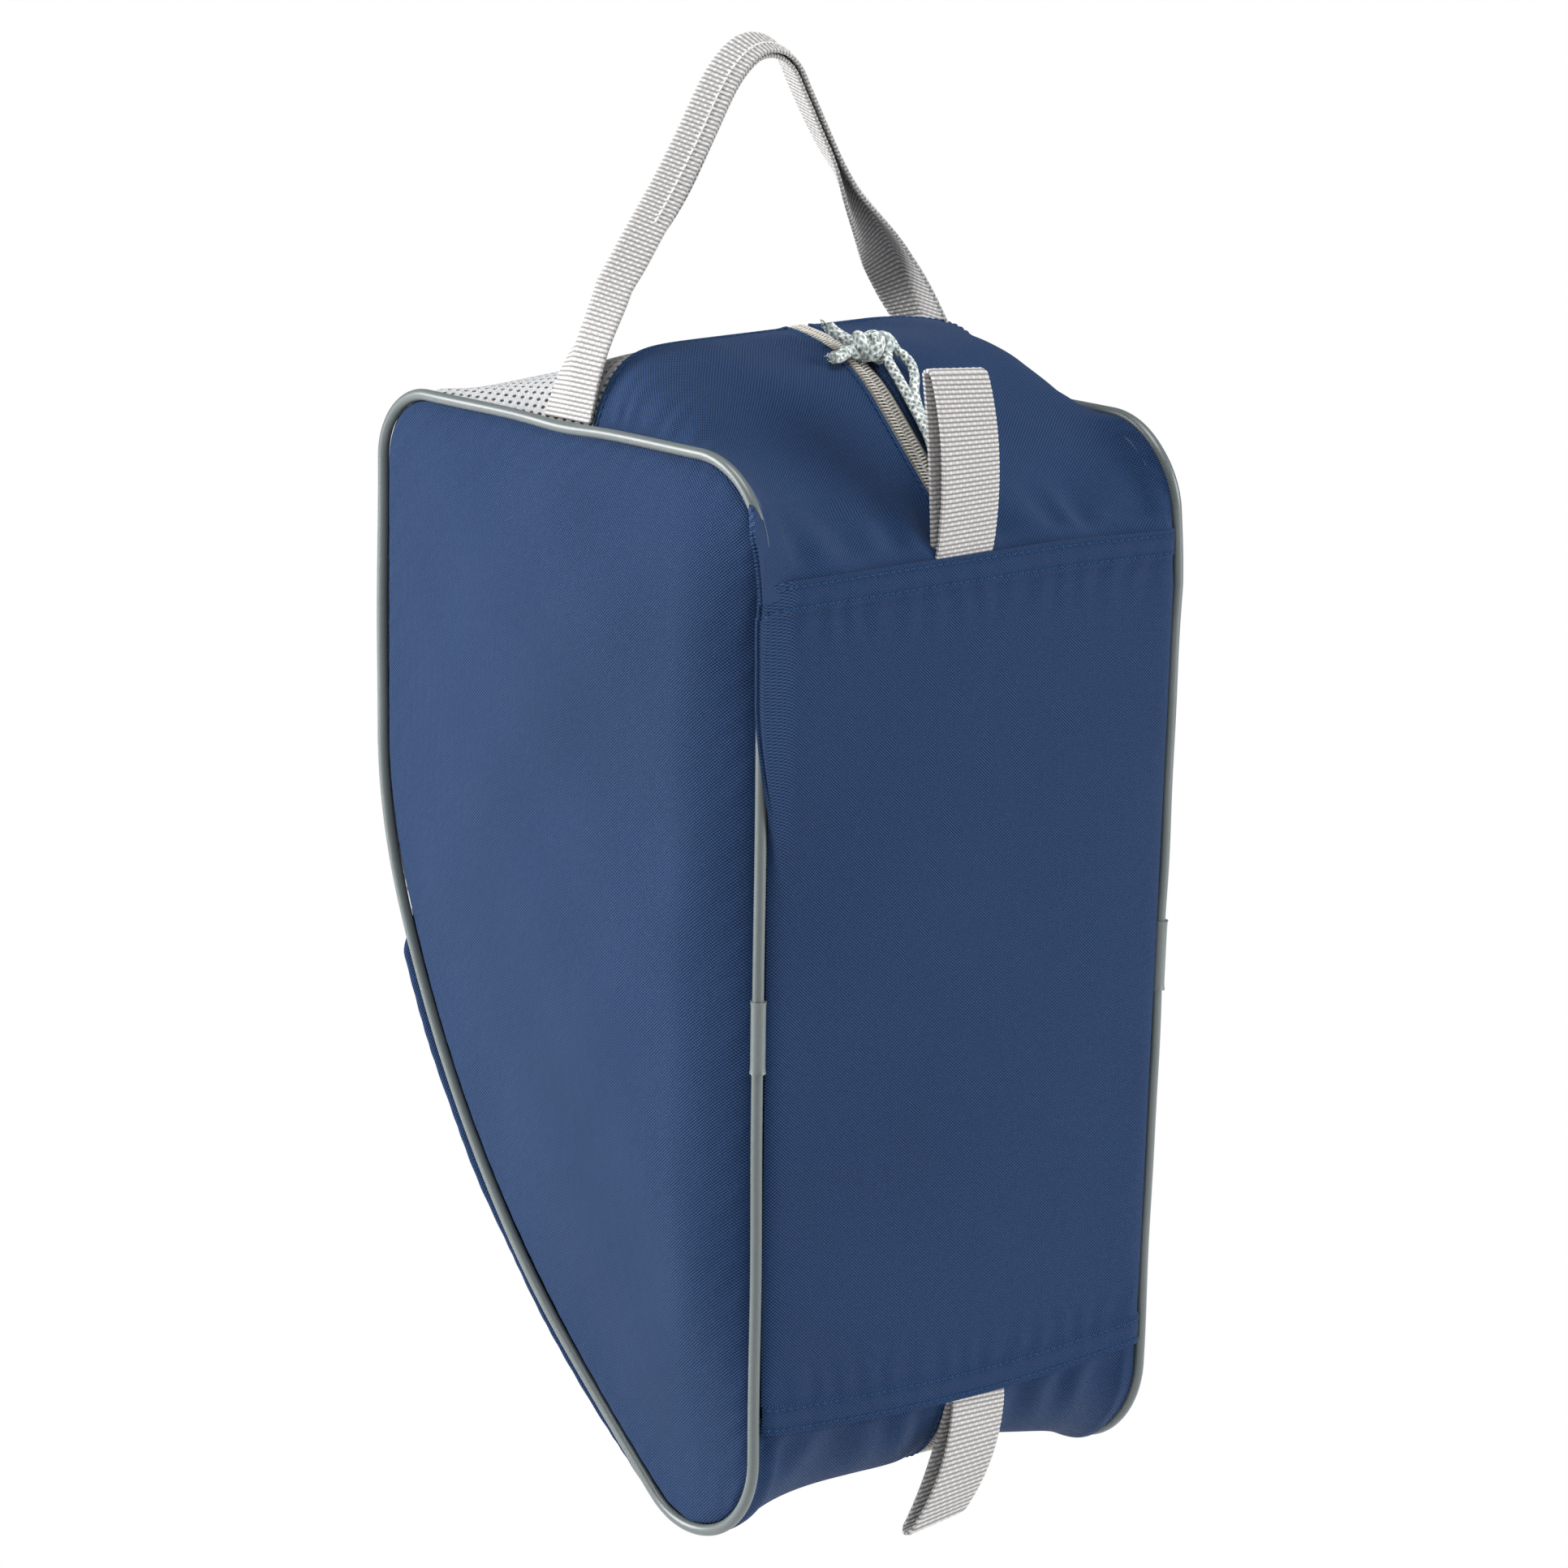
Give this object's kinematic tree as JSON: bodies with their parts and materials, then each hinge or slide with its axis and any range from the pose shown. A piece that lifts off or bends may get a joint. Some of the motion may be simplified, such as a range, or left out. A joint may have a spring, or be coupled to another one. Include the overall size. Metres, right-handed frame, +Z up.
{
  "type": "golf shoe bag",
  "caption": "Zipped shoe bag with padded side panels, mesh vent gussets, a folded webbing handle on top and a webbing pull loop at each end of its flat base.",
  "frame": {"origin": "the underside of the handle's top, where a hook or finger holds the hanging bag", "axes": "+Z up as the bag hangs, -Y out of the flat base panel, X across the bag from the left side panel to the right one"},
  "size_m": [0.1822, 0.2046, 0.4973],
  "materials": {
    "bag_cloth": "navy coated polyester with a coarse plain weave",
    "vent_mesh": "pale grey knitted spacer mesh",
    "webbing": "pale grey ribbed webbing",
    "piping_vinyl": "satin grey vinyl",
    "zip_nylon": "stone grey nylon coil",
    "zip_tape": "stone grey woven tape",
    "slider_metal": "grey nickel plate",
    "pull_cord": "grey braided cord flecked with white and green",
    "binding_tape": "navy woven binding"
  },
  "bodies": {
    "handle": {"handle_strap": "webbing"},
    "bag": {"base_panel": "bag_cloth", "side_panel_left": "bag_cloth", "side_panel_right": "bag_cloth", "heel_gusset_left": "bag_cloth", "heel_gusset_right": "bag_cloth", "mesh_shoulder_left": "vent_mesh", "mesh_shoulder_right": "vent_mesh", "toe_gusset_left": "bag_cloth", "toe_gusset_right": "bag_cloth", "seam_binding_left": "binding_tape", "seam_binding_right": "binding_tape", "piping_left": "piping_vinyl", "piping_right": "piping_vinyl", "piping_sleeve_left": "piping_vinyl", "piping_sleeve_right": "piping_vinyl", "zip_tape_heel_left": "zip_tape", "zip_tape_heel_right": "zip_tape", "zip_tape_shoulder_left": "zip_tape", "zip_tape_shoulder_right": "zip_tape", "zip_tape_toe_left": "zip_tape", "zip_tape_toe_right": "zip_tape", "zip_coil_heel_left": "zip_nylon", "zip_coil_heel_right": "zip_nylon", "zip_coil_shoulder_left": "zip_nylon", "zip_coil_shoulder_right": "zip_nylon", "zip_coil_toe_left": "zip_nylon", "zip_coil_toe_right": "zip_nylon"},
    "left_flap": {"mesh_flap_left": "vent_mesh", "zip_tape_flap_left": "zip_tape", "zip_coil_flap_left": "zip_nylon"},
    "right_flap": {"mesh_flap_right": "vent_mesh", "zip_tape_flap_right": "zip_tape", "zip_coil_flap_right": "zip_nylon"},
    "slider": {"zip_slider": "slider_metal", "slider_bail": "slider_metal"},
    "pull": {"pull_strand_left": "pull_cord", "pull_strand_right": "pull_cord", "pull_knot": "pull_cord"},
    "heel_loop": {"heel_loop": "webbing"},
    "toe_loop": {"toe_loop": "webbing"}
  },
  "joints": [
    {"name": "bag_swing", "type": "hinge", "parent": "handle", "child": "bag", "pos_m": [0, 0, -0.112], "axis": [1, 0, 0], "range_deg": [-45, 45]},
    {"name": "left_flap_open", "type": "hinge", "parent": "bag", "child": "left_flap", "pos_m": [-0.0862, 0.0976, -0.221], "axis": [0, 0, 1], "range_deg": [0, 75]},
    {"name": "right_flap_open", "type": "hinge", "parent": "bag", "child": "right_flap", "pos_m": [0.0862, 0.0976, -0.221], "axis": [0, 0, -1], "range_deg": [0, 75]},
    {"name": "slider_run", "type": "slide", "parent": "bag", "child": "slider", "axis": [0, 0.7062, 0.708], "range_m": [0, 0.034]},
    {"name": "pull_lift", "type": "hinge", "parent": "slider", "child": "pull", "pos_m": [0, -0.08831, -0.13808], "axis": [1, 0, 0], "range_deg": [0, 40]},
    {"name": "heel_loop_flex", "type": "hinge", "parent": "bag", "child": "heel_loop", "pos_m": [-0.006, -0.0986, -0.1516], "axis": [1, 0, 0], "range_deg": [0, 135], "stiffness_Nm_per_rad": 0.01},
    {"name": "toe_loop_flex", "type": "hinge", "parent": "bag", "child": "toe_loop", "pos_m": [0.008, -0.0986, -0.4304], "axis": [-1, 0, 0], "range_deg": [0, 135]}
  ]
}
